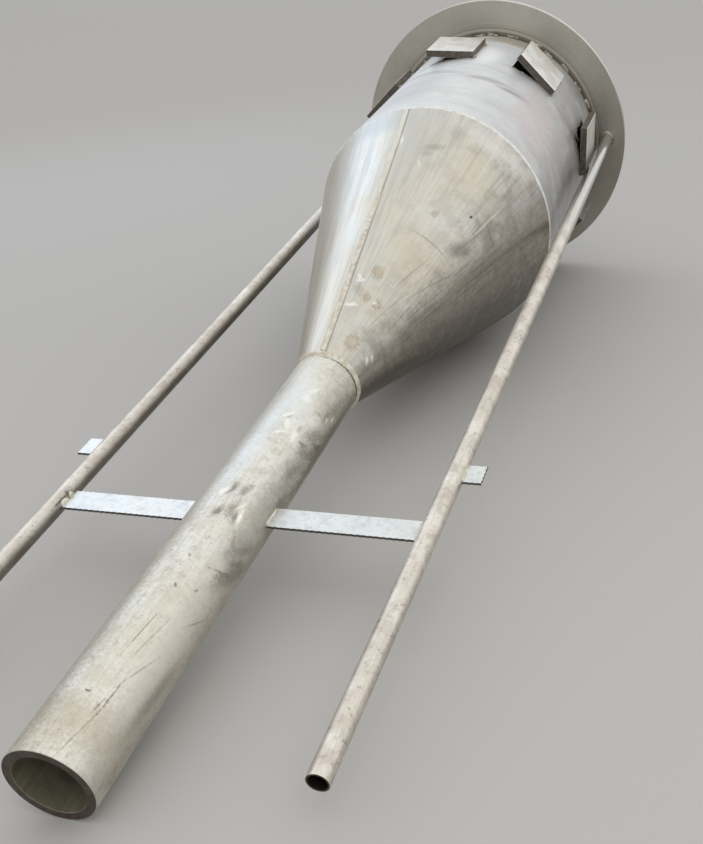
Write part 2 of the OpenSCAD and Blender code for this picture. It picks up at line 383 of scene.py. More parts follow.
# Cone
# The cone is one sheet rolled and closed with a straight seam. It is duller and warmer than
# the barrel, with drag marks from the rolls down its length and the smears of hard handling.
CONE_TOP_R, CONE_MOUTH_R = BARREL_R, dipleg_high.x
CONE_TOP, CONE_MOUTH = cone_high.z, cone_low.z
CONE_TAPER = (CONE_TOP_R - CONE_MOUTH_R) / (CONE_TOP - CONE_MOUTH)
# Stainless sheet, rolled and handled: duller and warmer, smudged, with long scratches.
dull_plate = bare_metal("dull_rolled_stainless", SLANT_LAY, "#d0d0c8",
                        lambda z: CONE_MOUTH_R + CONE_TAPER * (z - CONE_MOUTH))
dull_plate.rough = 0.36
# The side that lay low is darker: dirt, and painted shade.
grime_and_shade = low_side(dull_plate, -0.5, 0.9)
stain(dull_plate, "#d0c9b8", 180 * MM, 0.5, 0.75)
stain(dull_plate, "#b7b2aa", 5 * MM, 0.4, 0.4, drawn=True)
lay_over(dull_plate, "#90867a", grime_and_shade, thin=0.48)
# Painted shade along the lowest side.
lay_over(dull_plate, "#4f473f", low_side(dull_plate, 0.70, 1.0), thin=0.75)
stain(dull_plate, "#a09b94", 16 * MM, 0.25, 0.35, drawn=True)
stain(dull_plate, "#8b8278", 55 * MM, 0.35, 0.5, dulls=0.08, where=low_side(dull_plate, -0.9, 0.4))
stain(dull_plate, "#736a61", 11 * MM, 0.35, 0.4, soft=0.2, where=grime_and_shade)
stain(dull_plate, "#6f6760", 8 * MM, 0.25, 0.45, drawn=True, where=grime_and_shade)
stain(dull_plate, "#d3cec4", 26 * MM, 0.2, 0.3, soft=0.16, where=grime_and_shade)
stain(dull_plate, "#5f5853", 2.4 * MM, 0.16, 0.6, drawn=True,
      where=patch_at(dull_plate, -32, -1180, 170, 42, 82, soft=0.6))
# Broad smears, some of them painted shade, then scratches, a pit, brown heat spots with pale
# middles, and white flecks.
BROWN, SOOT, WHITE = "#95856f", "#766c67", "#e9e7e2"
scuff(dull_plate, [
    (-17, -740, 120, 60, 71, "#978c88", 0.4), (-4, -950, 150, 44, 75, "#8d837f", 0.35),
    # Next line, first mark: painted shade near the girth seam, where no highlight falls.
    (-108, -700, 80, 40, 0, "#aab0ad", 0.65), (-82, -760, 60, 90, 0, "#bdbdb6", 0.35),
    (-50, -700, 80, 34, 0, "#e2e1dc", 0.5), (-50, -1010, 60, 80, 0, "#dedad1", 0.4),
    # Next line, second mark: painted shade down the lowest side by the mouth.
    (3, -1176, 130, 34, 80, "#857c76", 0.4), (33, -1260, 190, 32, 82, "#4a433c", 0.5),
    (-90, -800, 130, 34, -80, "#c3c3bd", 0.6), (-53, -850, 84, 56, 88, "#d2c8b4", 0.5),
    (-53, -1136, 74, 50, 89, "#cfc4b0", 0.5), (-75, -800, 24, 9, 25, "#94908a", 0.45),
    (-77, -826, 14, 8, 21, "#a09c95", 0.4), (-29, -1015, 34, 16, 65, "#70665f", 0.65),
    (-22, -911, 38, 18, -52, "#766b66", 0.6)], soft=0.7)
scuff(dull_plate, [
    (-47.5, -1064, 44, 1.4, -1, SOOT, 0.6), (-22.6, -904, 30, 2.0, -16, SOOT, 0.6),
    (-28, -966, 66, 1.6, 83, SOOT, 0.5), (-20, -1205, 72, 1.2, 86, SOOT, 0.6),
    (-46, -1170, 62, 1.0, 80, SOOT, 0.45), (-28, -1152, 80, 1.2, 76, SOOT, 0.5),
    (-43.6, -1282, 80, 0.9, 81, "#8a8076", 0.5), (-7, -984, 134, 1.6, 88, SOOT, 0.45),
    (-28, -893, 68, 1.8, 88, "#d9d2c8", 0.5), (-48, -739, 70, 3.0, -86, "#dcd6cb", 0.5),
    (-109.5, -826, 66, 5, -86, "#aeb4ba", 0.5)], soft=0.6, torn=1.0)
scuff(dull_plate, [(-37.2, -926, 5, 3.2, 78, "#3d3835", 0.9)], soft=0.3)
scuff(dull_plate, [
    (-69.6, -1209, 17, 12, -76, BROWN, 0.6), (-69, -1206, 9, 6, -76, "#c3b79f", 0.7),
    (-67, -1280, 11, 8, -78, BROWN, 0.5), (-78, -1266, 20, 9, -60, "#a89d8c", 0.5),
    (-54.6, -1285, 11, 8, -89, BROWN, 0.6), (-54.6, -1285, 5, 4, -89, "#c8bda8", 0.8),
    (-54.4, -1395, 18, 13.5, -88, BROWN, 0.6), (-54.4, -1393, 9, 7, -88, "#c8bca5", 0.7),
    (-56, -989, 11, 7, 67, "#9b9084", 0.5)], soft=0.5, torn=1.7)
scuff(dull_plate, [
    (-82.5, -1232, 9, 3.5, -58, WHITE, 0.85), (-80.5, -1240, 8, 4, 20, WHITE, 0.7),
    (-79.3, -1309, 12, 4, 14, WHITE, 0.85), (-76.5, -1304, 5, 4, 60, WHITE, 0.6),
    (-58, -1284, 5, 3, 69, WHITE, 0.7), (-20.8, -1401, 8, 3, -43, WHITE, 0.85),
    (-18.3, -1386, 7, 3, -42, WHITE, 0.8), (-93.0, -786, 16, 3, -84, WHITE, 0.8),
    (-78.4, -865, 9, 2.5, -73, WHITE, 0.5)], soft=0.7, torn=1.3)
# The straight seam wanders a little from the girth seam to the mouth. On its lower side lies a
# dark line, partly burnt oxide and partly painted shadow of the bead.
SEAM_TOP_ANGLE, SEAM_MOUTH_ANGLE = -96.5, -89.0
SEAM_SHADOW_OFFSET, SEAM_SHADOW_W = 7.0 * MM, 2.6 * MM
up_slant = add(dull_plate.tree, "MapRange", _0=dull_plate.height, _1=CONE_MOUTH, _2=CONE_TOP)
bend = add(dull_plate.tree, "Math", {"operation": "SQRT"}, _0=up_slant)
seam_at = add(dull_plate.tree, "Math", {"operation": "MULTIPLY_ADD"}, _0=bend,
              _1=radians(SEAM_TOP_ANGLE - SEAM_MOUTH_ANGLE), _2=radians(SEAM_MOUTH_ANGLE))
turn = add(dull_plate.tree, "Math", {"operation": "SUBTRACT"}, _0=dull_plate.angle, _1=seam_at)
off_seam = add(dull_plate.tree, "Math", {"operation": "MULTIPLY_ADD"}, _0=turn,
               _1=dull_plate.from_axis, _2=-SEAM_SHADOW_OFFSET)
off_seam = add(dull_plate.tree, "Math", {"operation": "ABSOLUTE"}, _0=off_seam)
off_seam = add(dull_plate.tree, "Math", {"operation": "MULTIPLY_ADD"}, _0=dull_plate.ragged,
               _1=1.2 * MM, _2=off_seam)
# Painted shadow of the seam's bead, with burnt oxide, in a line on its lower side.
corner = add(dull_plate.tree, "MapRange", SMOOTH, _0=off_seam, _1=SEAM_SHADOW_W * 0.4,
             _2=SEAM_SHADOW_W * 1.6, _3=0.6, _4=0.0)
lay_over(dull_plate, "#7d7468", corner)
dress("cone_shell", close_finish(dull_plate, swell=0.4 * MM, swell_size=40 * MM, drawn_swell=True))


# Dipleg
# The dipleg is a seamless thick-walled pipe, pickled matt. It has dents and scuffs from
# handling, and its sawn end is brown where the cut was left bare.
def add_mesh(name, points, faces, *finishes, smooth=True):
    """A new piece with its finishes. A smooth one keeps its sharp edges."""
    mesh = bpy.data.meshes.new(name)
    mesh.from_pydata([tuple(p) for p in points], [], faces)
    for finish in finishes:
        mesh.materials.append(finish)
    if smooth:
        mesh.shade_smooth()
        mesh.set_sharp_from_angle(angle=radians(40))
    made = bpy.data.objects.new(name, mesh)
    bpy.context.scene.collection.objects.link(made)
    return made


DIPLEG_R = dipleg_high.x
DIPLEG_WALL = 14 * MM
DIPLEG_BORE = DIPLEG_R - DIPLEG_WALL
DIPLEG_END, DIPLEG_TOP = dipleg_low.z, dipleg_high.z
# Seamless pipe, pickled: a matt grey-beige skin that scatters the light, blotched and nicked.
pickled = bare_metal("pickled_seamless_pipe", AXIS_LAY, "#dbd7cb", lambda z: DIPLEG_R)
pickled.rough = 0.58
stain(pickled, "#e3e3dd", 130 * MM, 0.5, 0.8)
# The side it lay on is darker: dirt, and painted shade.
lain_on_dirt_and_shade = low_side(pickled, -0.2, 1.1)
lay_over(pickled, "#8f897c", lain_on_dirt_and_shade, thin=0.48)
stain(pickled, "#9a9488", 40 * MM, 0.4, 0.5, where=lain_on_dirt_and_shade)
stain(pickled, "#7b766c", 13 * MM, 0.25, 0.6, where=lain_on_dirt_and_shade)
stain(pickled, "#beb7a8", 26 * MM, 0.35, 0.45)
stain(pickled, "#c2bcae", 5 * MM, 0.4, 0.3, drawn=True, dulls=0.04)
stain(pickled, "#a39a89", 9 * MM, 0.2, 0.35, dulls=0.05)
stain(pickled, "#8b8172", 4.2 * MM, 0.08, 0.5)
# Streaks along the pipe and blotches, with painted shade down the left edge, then nicks, scratches
# and a painted shadow line under the cone's bead.
scuff(pickled, [
    (-74, -1588, 90, 28, -80, "#e4e6e4", 0.7), (-95, -1760, 160, 22, 88, "#dde3e6", 0.6),
    (-55, -1693, 26, 14, -82, "#eceae4", 0.35), (-80, -1779, 18, 10, -65, "#ecebe6", 0.3),
    (-60, -2230, 160, 30, 86, "#d2ccba", 0.45), (-20, -1850, 170, 16, 88, "#a9a79f", 0.5),
    (5, -2180, 240, 14, 90, "#a39c8b", 0.4), (-20, -2240, 200, 30, 89, "#d8d3c9", 0.7),
    (13, -1620, 200, 14, 90, "#6b665c", 0.75),
    # Painted shade down the left edge: both marks on this line and the last mark on the next.
    (-118, -2000, 480, 15, 90, "#b0ada6", 0.4), (-142, -2200, 420, 34, 90, "#a0998a", 0.6),
    (-70, -2385, 80, 34, 0, "#b3a68e", 0.5), (-125, -1620, 150, 26, 90, "#b5b3ad", 0.55),
    (-6, -2036, 44, 11, 68, "#5f594f", 0.55), (-14, -1985, 24, 7, 60, "#6d675c", 0.5),
    (-30, -2000, 20, 6, 82, "#7d776b", 0.4), (-6, -1700, 30, 9, 66, "#6d675c", 0.5),
    (-16, -1770, 26, 7, 75, "#7a7468", 0.45), (-3, -1850, 36, 8, 84, "#6d675c", 0.5),
    (-12, -1560, 40, 10, 80, "#857f73", 0.45), (-34, -1640, 26, 8, 60, "#f0eee7", 0.4),
    (-40, -1760, 24, 7, 70, "#efede6", 0.35), (-4, -2290, 60, 9, 86, "#6f685c", 0.45)],
    soft=0.8, torn=1.1)
scuff(pickled, [
    (-10, -2011, 15, 6, 51, "#7a7165", 0.5), (-20, -2053, 14, 5, 53, "#7f7669", 0.5),
    (-23, -1715, 17, 8, 84, "#989184", 0.5), (2, -1637, 26, 7, 55, "#968e7f", 0.5),
    (-28, -2052, 22, 1.8, 28, "#857a6b", 0.5), (-13, -2151, 22, 1.3, 59, "#857b6d", 0.5),
    (-65, -2218, 34, 0.8, 84, "#6c6356", 0.6), (-51, -2221, 40, 0.7, 81, "#7d7365", 0.5),
    (-51, -2338, 28, 1.2, 87, "#63594c", 0.65), (-41, -2278, 36, 0.8, 71, "#837866", 0.5),
    (-58, -2399, 40, 0.9, 80, "#83775f", 0.5), (-57, -2355, 15, 0.9, 81, "#6c6151", 0.6),
    (-77, -2339, 3.4, 1.6, 7, "#5c544b", 0.8), (-64, -2121, 4.6, 2.0, -67, "#675f56", 0.7),
    (-71.5, -2058, 4.2, 2.2, -69, "#756d63", 0.6), (-38, -2110, 3.8, 2.0, 74, "#766e64", 0.6),
    # Painted shadow line under the cone's bead.
    (-30, -1456, 70, 2.4, 0, "#5d5143", 0.75), (5, -1457, 40, 3.0, 0, "#5d5143", 0.7)],
    soft=0.6, torn=1.5)
# The dents and ripples, each with painted shade on one side and a painted highlight on the other.
DENT_SHADE, DENT_HIGHLIGHT = "#726d66", "#f8f7f2"
scuff(pickled, [
    (-78, -1889, 14, 5.0, 75, DENT_SHADE, 0.75), (-59, -1881, 16, 5.5, 79, DENT_SHADE, 0.55),
    (-76, -1948, 13, 5.5, 76, DENT_SHADE, 0.75), (-60, -1935, 19, 6.5, 82, DENT_SHADE, 0.55),
    (-50, -1945, 9, 4.5, -87, DENT_SHADE, 0.65), (-86, -1897, 12, 5.0, 74, DENT_HIGHLIGHT, 0.8),
    (-45, -1940, 15, 3.0, -85, DENT_HIGHLIGHT, 0.8), (-51.5, -1919, 14, 2.4, 69, DENT_HIGHLIGHT, 0.6),
    (-33, -1988, 18, 3.5, -60, "#8b867d", 0.5), (-23, -1975, 22, 14, -65, "#a39e96", 0.45),
    (-72.5, -1660, 11, 3.2, 52, DENT_HIGHLIGHT, 0.7), (-70, -1665, 6, 2.4, 55, DENT_SHADE, 0.35),
    (-67, -1682, 12, 4.2, -71, DENT_HIGHLIGHT, 0.6), (-46.6, -1705, 13, 6.0, -87, DENT_HIGHLIGHT, 0.6),
    (-68, -1713, 11, 3.2, 47, DENT_HIGHLIGHT, 0.6), (-62, -1573, 14, 4.2, 63, DENT_HIGHLIGHT, 0.5),
    (-63, -1600, 9, 6.8, 83, DENT_HIGHLIGHT, 0.5), (-28.6, -1707, 9, 4.5, 22, DENT_SHADE, 0.6),
    (-4, -1673, 20, 5.0, 35, DENT_SHADE, 0.6), (0, -1667, 11, 4.5, 73, DENT_SHADE, 0.6),
    (-20, -1603, 13, 4.0, 87, DENT_SHADE, 0.5), (-16, -1605, 6, 3.2, -84, DENT_HIGHLIGHT, 0.5),
    (-21, -1666, 25, 9.0, 59, "#8b847a", 0.5), (-45.5, -1682, 9, 3.4, 86, DENT_SHADE, 0.4),
    (-6.7, -1587, 7, 3.2, 87, DENT_HIGHLIGHT, 0.5), (-34, -1615, 6, 3.2, 4, DENT_SHADE, 0.35)],
    soft=0.8, torn=1.1)
pipe_skin_finish = close_finish(pickled, metallic=0.75, relief=0.08 * MM, grain=2.2 * MM,
                                swell=1.2 * MM, swell_size=45 * MM)

# The sawn end, left bare: brown-black with rust in it, and dull.
sawn = bare_metal("sawn_bare_end", GIRTH_LAY, "#57504a")
sawn.rough = 0.6
stain(sawn, "#453c35", 16 * MM, 0.5, 0.7)
stain(sawn, "#7b6a57", 4 * MM, 0.25, 0.5)
sawn_finish = close_finish(sawn, metallic=0.6, relief=0.12 * MM)

# The bore keeps the olive scale of hot rolling.
scale = bare_metal("mill_scale_bore", AXIS_LAY, "#8a8571")
scale.rough = 0.55
stain(scale, "#726d5a", 30 * MM, 0.5, 0.7)
stain(scale, "#9c967f", 6 * MM, 0.3, 0.4, drawn=True)
bore_finish = close_finish(scale, metallic=0.6)

# angle round the pipe in degrees, height, reach and depth
DENTS = [(-80, -1889 * MM, 17 * MM, 3.6 * MM), (-76, -1946 * MM, 16 * MM, 3.4 * MM),
         (-59, -1881 * MM, 14 * MM, 2.0 * MM), (-60, -1935 * MM, 16 * MM, 2.4 * MM),
         (-49, -1943 * MM, 11 * MM, 2.2 * MM), (-69, -1668 * MM, 14 * MM, 1.6 * MM),
         (-41, -2000 * MM, 24 * MM, 2.0 * MM), (-12, -2020 * MM, 26 * MM, 3.4 * MM),
         (-57, -1700 * MM, 30 * MM, 1.8 * MM), (-66, -1770 * MM, 22 * MM, 1.6 * MM),
         (-40, -1650 * MM, 20 * MM, 1.6 * MM), (-25, -1760 * MM, 24 * MM, 2.0 * MM)]


def dented(angle, z):
    """How far the dents press the skin in at that place."""
    depth = 0.0
    for at, height, reach, deep in DENTS:
        off = hypot(radians(angle - at) * DIPLEG_R, z - height) / reach
        depth += deep * (1 + cos(min(off, 1.0) * pi)) / 2
    return depth


SIDES = 144
STEP = 5 * MM
RIM = 0.8 * MM
steps = ceil((DIPLEG_TOP - DIPLEG_END) / STEP)
rings = [(DIPLEG_R, DIPLEG_TOP + (DIPLEG_END + RIM - DIPLEG_TOP) * i / steps, True)
         for i in range(steps + 1)]
rings += [(DIPLEG_R - RIM, DIPLEG_END, False), (DIPLEG_BORE + RIM, DIPLEG_END, False),
          (DIPLEG_BORE, DIPLEG_END + RIM, False), (DIPLEG_BORE, DIPLEG_TOP, False),
          (DIPLEG_R, DIPLEG_TOP, False)]
points, faces = [], []
for radius, z, dents in rings:
    for k in range(SIDES):
        angle = 360.0 * k / SIDES - 180
        r = radius - (dented(angle, z) if dents else 0)
        points.append((r * cos(radians(angle)), r * sin(radians(angle)), z))
for i in range(len(rings) - 1):
    for k in range(SIDES):
        a, b = i * SIDES + k, i * SIDES + (k + 1) % SIDES
        faces.append((a, b, b + SIDES, a + SIDES))
dipleg = add_mesh("dipleg_skin", points, faces, pipe_skin_finish, sawn_finish, bore_finish)
for face in dipleg.data.polygons:
    ring = face.index // SIDES
    face.material_index = 0 if ring <= steps else 1 if ring == steps + 1 else 2
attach(dipleg, "root")
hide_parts("dipleg_pipe")


# Weld beads
# The joints are welded by hand, each bead a row of overlapping ripples. The girth seam was
# brushed bright. The cone's seams keep a sandy skin, straw to brown where the heat stayed.

# Stainless weld, brushed: pale and satin.
brushed = bare_metal("brushed_weld", GIRTH_LAY, "#e4e5e2")
brushed.rough = 0.5
stain(brushed, "#c2bfb9", 12 * MM, 0.4, 0.6)
stain(brushed, "#9a948b", 5 * MM, 0.15, 0.5)
brushed_weld = close_finish(brushed, metallic=0.4, relief=0.2 * MM, grain=2.0 * MM)

# Stainless weld as laid: a grainy skin, straw below and pale near the barrel.
STRAW_UP_TO, PALE_FROM = -1120 * MM, -760 * MM
sandy = bare_metal("hand_laid_weld", GIRTH_LAY, "#d8d4c7")
sandy.rough = 0.5
straw = add(sandy.tree, "MapRange", SMOOTH, _0=sandy.height, _1=STRAW_UP_TO, _2=PALE_FROM, _3=1.0,
            _4=0.1)
stain(sandy, "#b9aa8d", 22 * MM, 0.5, 0.6, where=straw)
stain(sandy, "#e2dfd5", 4 * MM, 0.35, 0.6)
stain(sandy, "#978564", 8 * MM, 0.25, 0.55, where=straw)
hand_laid_weld = close_finish(sandy, metallic=0.5, relief=0.3 * MM, grain=1.6 * MM)

# Stainless fillet weld, never cleaned: burnt brown, with ripples that catch the light.
sooty = bare_metal("sooty_fillet_weld", GIRTH_LAY, "#9a9185")
sooty.rough = 0.45
stain(sooty, "#c9c4ba", 7 * MM, 0.25, 0.7)
stain(sooty, "#5d5348", 10 * MM, 0.35, 0.7)
sooty_weld = close_finish(sooty, metallic=0.85, relief=0.35 * MM, grain=1.6 * MM)


SEED_STEP = 7.31


def wobble(s, seed):
    """A smooth value about zero along s, the same in each run."""
    return noise.noise(Vector((s, seed * SEED_STEP, seed * 3.7)))


RIPPLE_DEPTH = 0.2
BEAD_SINK = 0.6 * MM


def bead_points(path, width, height, rise, pitch, seed, closed=False, rows=6, uneven=0.16):
    """Rows of points over a run of weld. path gives (middle, out, across) at even steps. The
    bead wanders slowly in width, height and line, and its ripples bow back at the sides."""
    points, faces = [], []
    length = 0.0
    before = path[0][0]
    total = sum((path[i + 1][0] - path[i][0]).length for i in range(len(path) - 1))
    for i, (middle, out, across) in enumerate(path):
        length += (middle - before).length
        before = middle
        at = Vector((length / (3 * width), seed * SEED_STEP, 0))
        if closed:
            turn = tau * i / len(path)
            ring = total / (3 * width) / tau
            at = Vector((cos(turn) * ring, sin(turn) * ring, seed * SEED_STEP))
        wide = 1 + uneven * noise.noise(at)
        tall = 1 + 2 * uneven * noise.noise(at * 1.4 + Vector((0, 0, 5)))
        drift = 0.6 * uneven * noise.noise(at * 0.8 + Vector((0, 0, 9)))
        end = 1.0
        if not closed:
            near_end = min(length, total - length) / (width * 0.6)
            end = sqrt(max(0.04, 1 - (1 - min(near_end, 1.0)) ** 2))
        for j in range(rows + 1):
            t = j / rows
            lag = 0.5 * (2 * t - 1) ** 2
            phase = (length / pitch + lag) % 1.0
            ripple = RIPPLE_DEPTH * height * (1 - phase) * sin(pi * t)
            u = (t - 0.5 + drift) * width * wide * end
            lift = rise * end + height * tall * end * sin(pi * t) + ripple
            points.append(middle + across * u + out * lift)
        points.append(middle + out * (min(rise, 0.0) - BEAD_SINK))
    count = rows + 2
    last = len(path) if closed else len(path) - 1
    for i in range(last):
        here, there = i * count, ((i + 1) % len(path)) * count
        for j in range(count):
            k = (j + 1) % count
            faces.append((here + j, here + k, there + k, there + j))
    if not closed:
        faces.append(tuple(range(count)))
        faces.append(tuple(reversed(range((len(path) - 1) * count, len(path) * count))))
    return points, faces


def lay_beads(name, runs, finish, *nodes):
    """One piece from several runs of weld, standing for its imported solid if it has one."""
    points, faces = [], []
    for run in runs:
        more, joined = bead_points(**run)
        faces += [tuple(v + len(points) for v in f) for f in joined]
        points += more
    made = add_mesh(name, points, faces, finish)
    bm = bmesh.new()
    bm.from_mesh(made.data)
    bmesh.ops.recalc_face_normals(bm, faces=bm.faces)
    bm.to_mesh(made.data)
    bm.free()
    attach(made, "root")
    if nodes:
        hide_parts(*nodes)


def girth_path(radius, z, tilt, step, start=0.0, sweep=tau, centre=(0.0, 0.0)):
    """Steps round an axis; tilt turns the out direction from radial up to +Z."""
    count = max(4, ceil(radius * sweep / step))
    closed = sweep >= tau - 1e-6
    path = []
    for k in range(count if closed else count + 1):
        a = start + sweep * k / count
        radial = Vector((cos(a), sin(a), 0))
        middle = Vector((centre[0], centre[1], z)) + radial * radius
        out = radial * cos(tilt) + Vector((0, 0, 1)) * sin(tilt)
        across = radial * -sin(tilt) + Vector((0, 0, 1)) * cos(tilt)
        path.append((middle, out, across))
    return path


RIPPLE = 3.2 * MM
BEAD_STEP = 0.8 * MM
seam_low, seam_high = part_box("barrel_cone_weld")
SEAM_W = seam_high.z - seam_low.z
SEAM_H = seam_high.x - BARREL_R
lay_beads("barrel_cone_bead",
          [dict(path=girth_path(BARREL_R, BARREL_END, -atan(CONE_TAPER) / 2, BEAD_STEP * 1.3),
                width=SEAM_W * 1.15, height=SEAM_H * 0.95, rise=-0.9 * MM,
                pitch=RIPPLE * 1.4, seed=1, closed=True, uneven=0.32)],
          brushed_weld, "barrel_cone_weld")

MOUTH_BEAD_W, MOUTH_BEAD_H = 16 * MM, 3.4 * MM
seam_path = []
slant = hypot(CONE_TOP_R - CONE_MOUTH_R, CONE_TOP - CONE_MOUTH)
count = ceil((slant - MOUTH_BEAD_W * 0.5 - SEAM_W * 0.5) / BEAD_STEP)
lean = Vector((CONE_TOP_R - CONE_MOUTH_R, 0, CONE_TOP - CONE_MOUTH)).normalized()
for k in range(count + 1):
    up = (MOUTH_BEAD_W * 0.45 + k * BEAD_STEP) / slant
    radius = CONE_MOUTH_R + (CONE_TOP_R - CONE_MOUTH_R) * up
    z = CONE_MOUTH + (CONE_TOP - CONE_MOUTH) * up
    angle = radians(SEAM_MOUTH_ANGLE + (SEAM_TOP_ANGLE - SEAM_MOUTH_ANGLE) * up ** 0.5)
    turn = Matrix.Rotation(angle, 3, "Z")
    out = turn @ Vector((lean.z, 0, -lean.x))
    across = (turn @ lean).cross(out)
    seam_path.append((turn @ Vector((radius, 0, z)), out, across))
lay_beads("cone_seam_bead",
          [dict(path=seam_path, width=SEAM_W * 1.35, height=SEAM_H * 1.3, rise=-0.3 * MM,
                pitch=RIPPLE * 1.3, seed=2, uneven=0.25)],
          hand_laid_weld, "cone_seam_weld")

lay_beads("cone_dipleg_bead",
          [dict(path=girth_path(CONE_MOUTH_R + 1.0 * MM, CONE_MOUTH, radians(-8), BEAD_STEP),
                width=MOUTH_BEAD_W * 0.85, height=MOUTH_BEAD_H, rise=-0.4 * MM,
                pitch=RIPPLE * 1.3, seed=3, closed=True, rows=8, uneven=0.25)],
          hand_laid_weld, "cone_dipleg_weld")


# Ring flange
# The ring flange is 16 mm plate, flame-cut to a ring. Its face is grey from the mill, and the
# barrel is stitched to its underside with short fillet beads.

# Stainless plate, mill finish: an even matt grey.
mill_plate = bare_metal("mill_finish_plate", GIRTH_LAY, "#c1bdb2", lambda z: flange_high.x)
mill_plate.rough = 0.46
stain(mill_plate, "#cbc8be", 160 * MM, 0.5, 0.6)
stain(mill_plate, "#aea99e", 34 * MM, 0.3, 0.35, dulls=0.05, soft=0.16)
stain(mill_plate, "#a09a8f", 8 * MM, 0.2, 0.25)
# Painted light over a broad part of the face and painted shade over another.
scuff(mill_plate, [
    (-80, 0, 300, 400, 0, "#d5d3ca", 0.55), (12, 0, 170, 400, 0, "#8f8a81", 0.5)], soft=0.9)
# Rings left in the face by the grinder that dressed it round the barrel.
GROUND_OUT_TO = 52 * MM
rings = add(mill_plate.tree, "TexNoise", {"noise_dimensions": "1D"}, W=mill_plate.from_axis,
            Scale=1 / (6 * MM), Detail=3.0)
rings = add(mill_plate.tree, "MapRange", _0=rings.outputs["Fac"], _1=0.42, _2=0.66, _4=0.5)
ground = add(mill_plate.tree, "MapRange", SMOOTH, _0=mill_plate.from_axis,
             _1=BARREL_R + GROUND_OUT_TO * 0.4, _2=BARREL_R + GROUND_OUT_TO, _3=1.0, _4=0.0)
lay_over(mill_plate, "#857f73", rings, thin=ground)
# Burnt oxide beside the stitches.
burnt = add(mill_plate.tree, "MapRange", SMOOTH, _0=mill_plate.from_axis, _1=BARREL_R + 5 * MM,
            _2=BARREL_R + 12 * MM, _3=0.7, _4=0.0)
lay_over(mill_plate, "#5f574c", burnt)
dress("ring_flange", close_finish(mill_plate, metallic=0.9, swell=0.4 * MM))

# The stitches stray from an even pitch, and no two are as long or as full.
STITCHES = 32
STITCH_SHARE, STITCH_STRAY = 0.62, 0.32
STITCH_LEG, STITCH_FULL, STITCH_SPREAD = 7 * MM, 1.25, 0.9
pitch_angle = tau / STITCHES
stitch_runs = []
for k in range(STITCHES):
    stray = STITCH_STRAY * wobble(k * 1.7, 11)
    leg = STITCH_LEG * (STITCH_FULL + STITCH_SPREAD * wobble(k * 2.3, 17))
    stitch_runs.append(dict(
        path=girth_path(BARREL_R, FLANGE_UNDERSIDE, radians(-45), BEAD_STEP,
                        start=pitch_angle * (k + stray),
                        sweep=pitch_angle * (STITCH_SHARE + stray)),
        width=leg * 1.5, height=2.8 * MM, rise=leg * 0.55, pitch=RIPPLE * 2.6,
        seed=20 + k, uneven=1.3))
lay_beads("flange_stitch_beads", stitch_runs, sooty_weld, "flange_stitch_welds")


# Roof and outlet pipe
# The barrel is closed at its top by a flat roof plate, with the gas outlet pipe through it.
# Both are the barrel's own rolled stainless, clean because they stand out of reach.
clean_plate = bare_metal("clean_rolled_stainless", GIRTH_LAY, "#cfd0cf")
clean_plate.rough = 0.38
stain(clean_plate, "#bdbab4", 90 * MM, 0.4, 0.6, dulls=0.06)
stain(clean_plate, "#a8a49d", 7 * MM, 0.3, 0.35, drawn=True)
clean_finish = close_finish(clean_plate)
dress("roof_plate", clean_finish)
dress("outlet_pipe", clean_finish)


# Hood plates
# Eight plates, flame-cut from 18 mm plate, are tacked over the slots in the barrel. Their faces
# are pale and dull, and the cut edges are dark with a bright arris.
def cut_plate(name, length, width, thick, place, face_finish, edge_finish, seed,
              ragged=0.35 * MM, arris=0.8 * MM, drag=2.0 * MM, scallop=(0.0, 0.0)):
    """A plate cut from sheet, with drag lines in its edges. It lies from 0 to length and width in
    its own x and y, thick in z, and place puts it on the separator. scallop is the pitch and
    depth of a row of bites from cutting in steps."""
    outline = []
    corners = [(0, 0), (length, 0), (length, width), (0, width)]
    for i, (x, y) in enumerate(corners):
        nx, ny = corners[(i + 1) % 4]
        side = hypot(nx - x, ny - y)
        count = max(2, round(side / drag))
        inward = Vector((-(ny - y), nx - x)) / side
        for k in range(count):
            t = k / count
            bite = abs(wobble(i * 40 + k * 0.9, seed)) * ragged if k else 0.0
            if scallop[0] and k:
                bite += scallop[1] * abs(sin(pi * t * side / scallop[0]))
            outline.append(Vector((x + (nx - x) * t, y + (ny - y) * t)) + inward * bite)
    n = len(outline)
    rings = []
    for z, shrink in ((0, arris), (arris, 0), (thick - arris, 0), (thick, arris)):
        rings.append([place @ Vector((max(min(p.x, length - shrink), shrink),
                                      max(min(p.y, width - shrink), shrink), z))
                      for p in outline])
    points = [p for ring in rings for p in ring]
    faces = [tuple(reversed(range(n))), tuple(range(3 * n, 4 * n))]
    for low in (0, n, 2 * n):
        for k in range(n):
            m = (k + 1) % n
            faces.append((low + k, low + m, low + n + m, low + n + k))
    made = add_mesh(name, points, faces, face_finish, edge_finish, smooth=False)
    for face in made.data.polygons:
        face.material_index = 1 if 2 + n <= face.index < 2 + 2 * n else 0
    return made


HOODS = 8
HOOD_ANGLE = radians(3.5)
HOOD_W, HOOD_H, HOOD_T = 130 * MM, 140 * MM, 18 * MM
HOOD_LAP = 4 * MM
HOOD_TOP = FLANGE_UNDERSIDE - 100 * MM
HOOD_SEAT = BARREL_R + 0.3 * MM


def hood_turn(i):
    """The turn from the plate at the right side tube to the plate i places on."""
    return Matrix.Rotation(HOOD_ANGLE - i * tau / HOODS, 3, "Z")


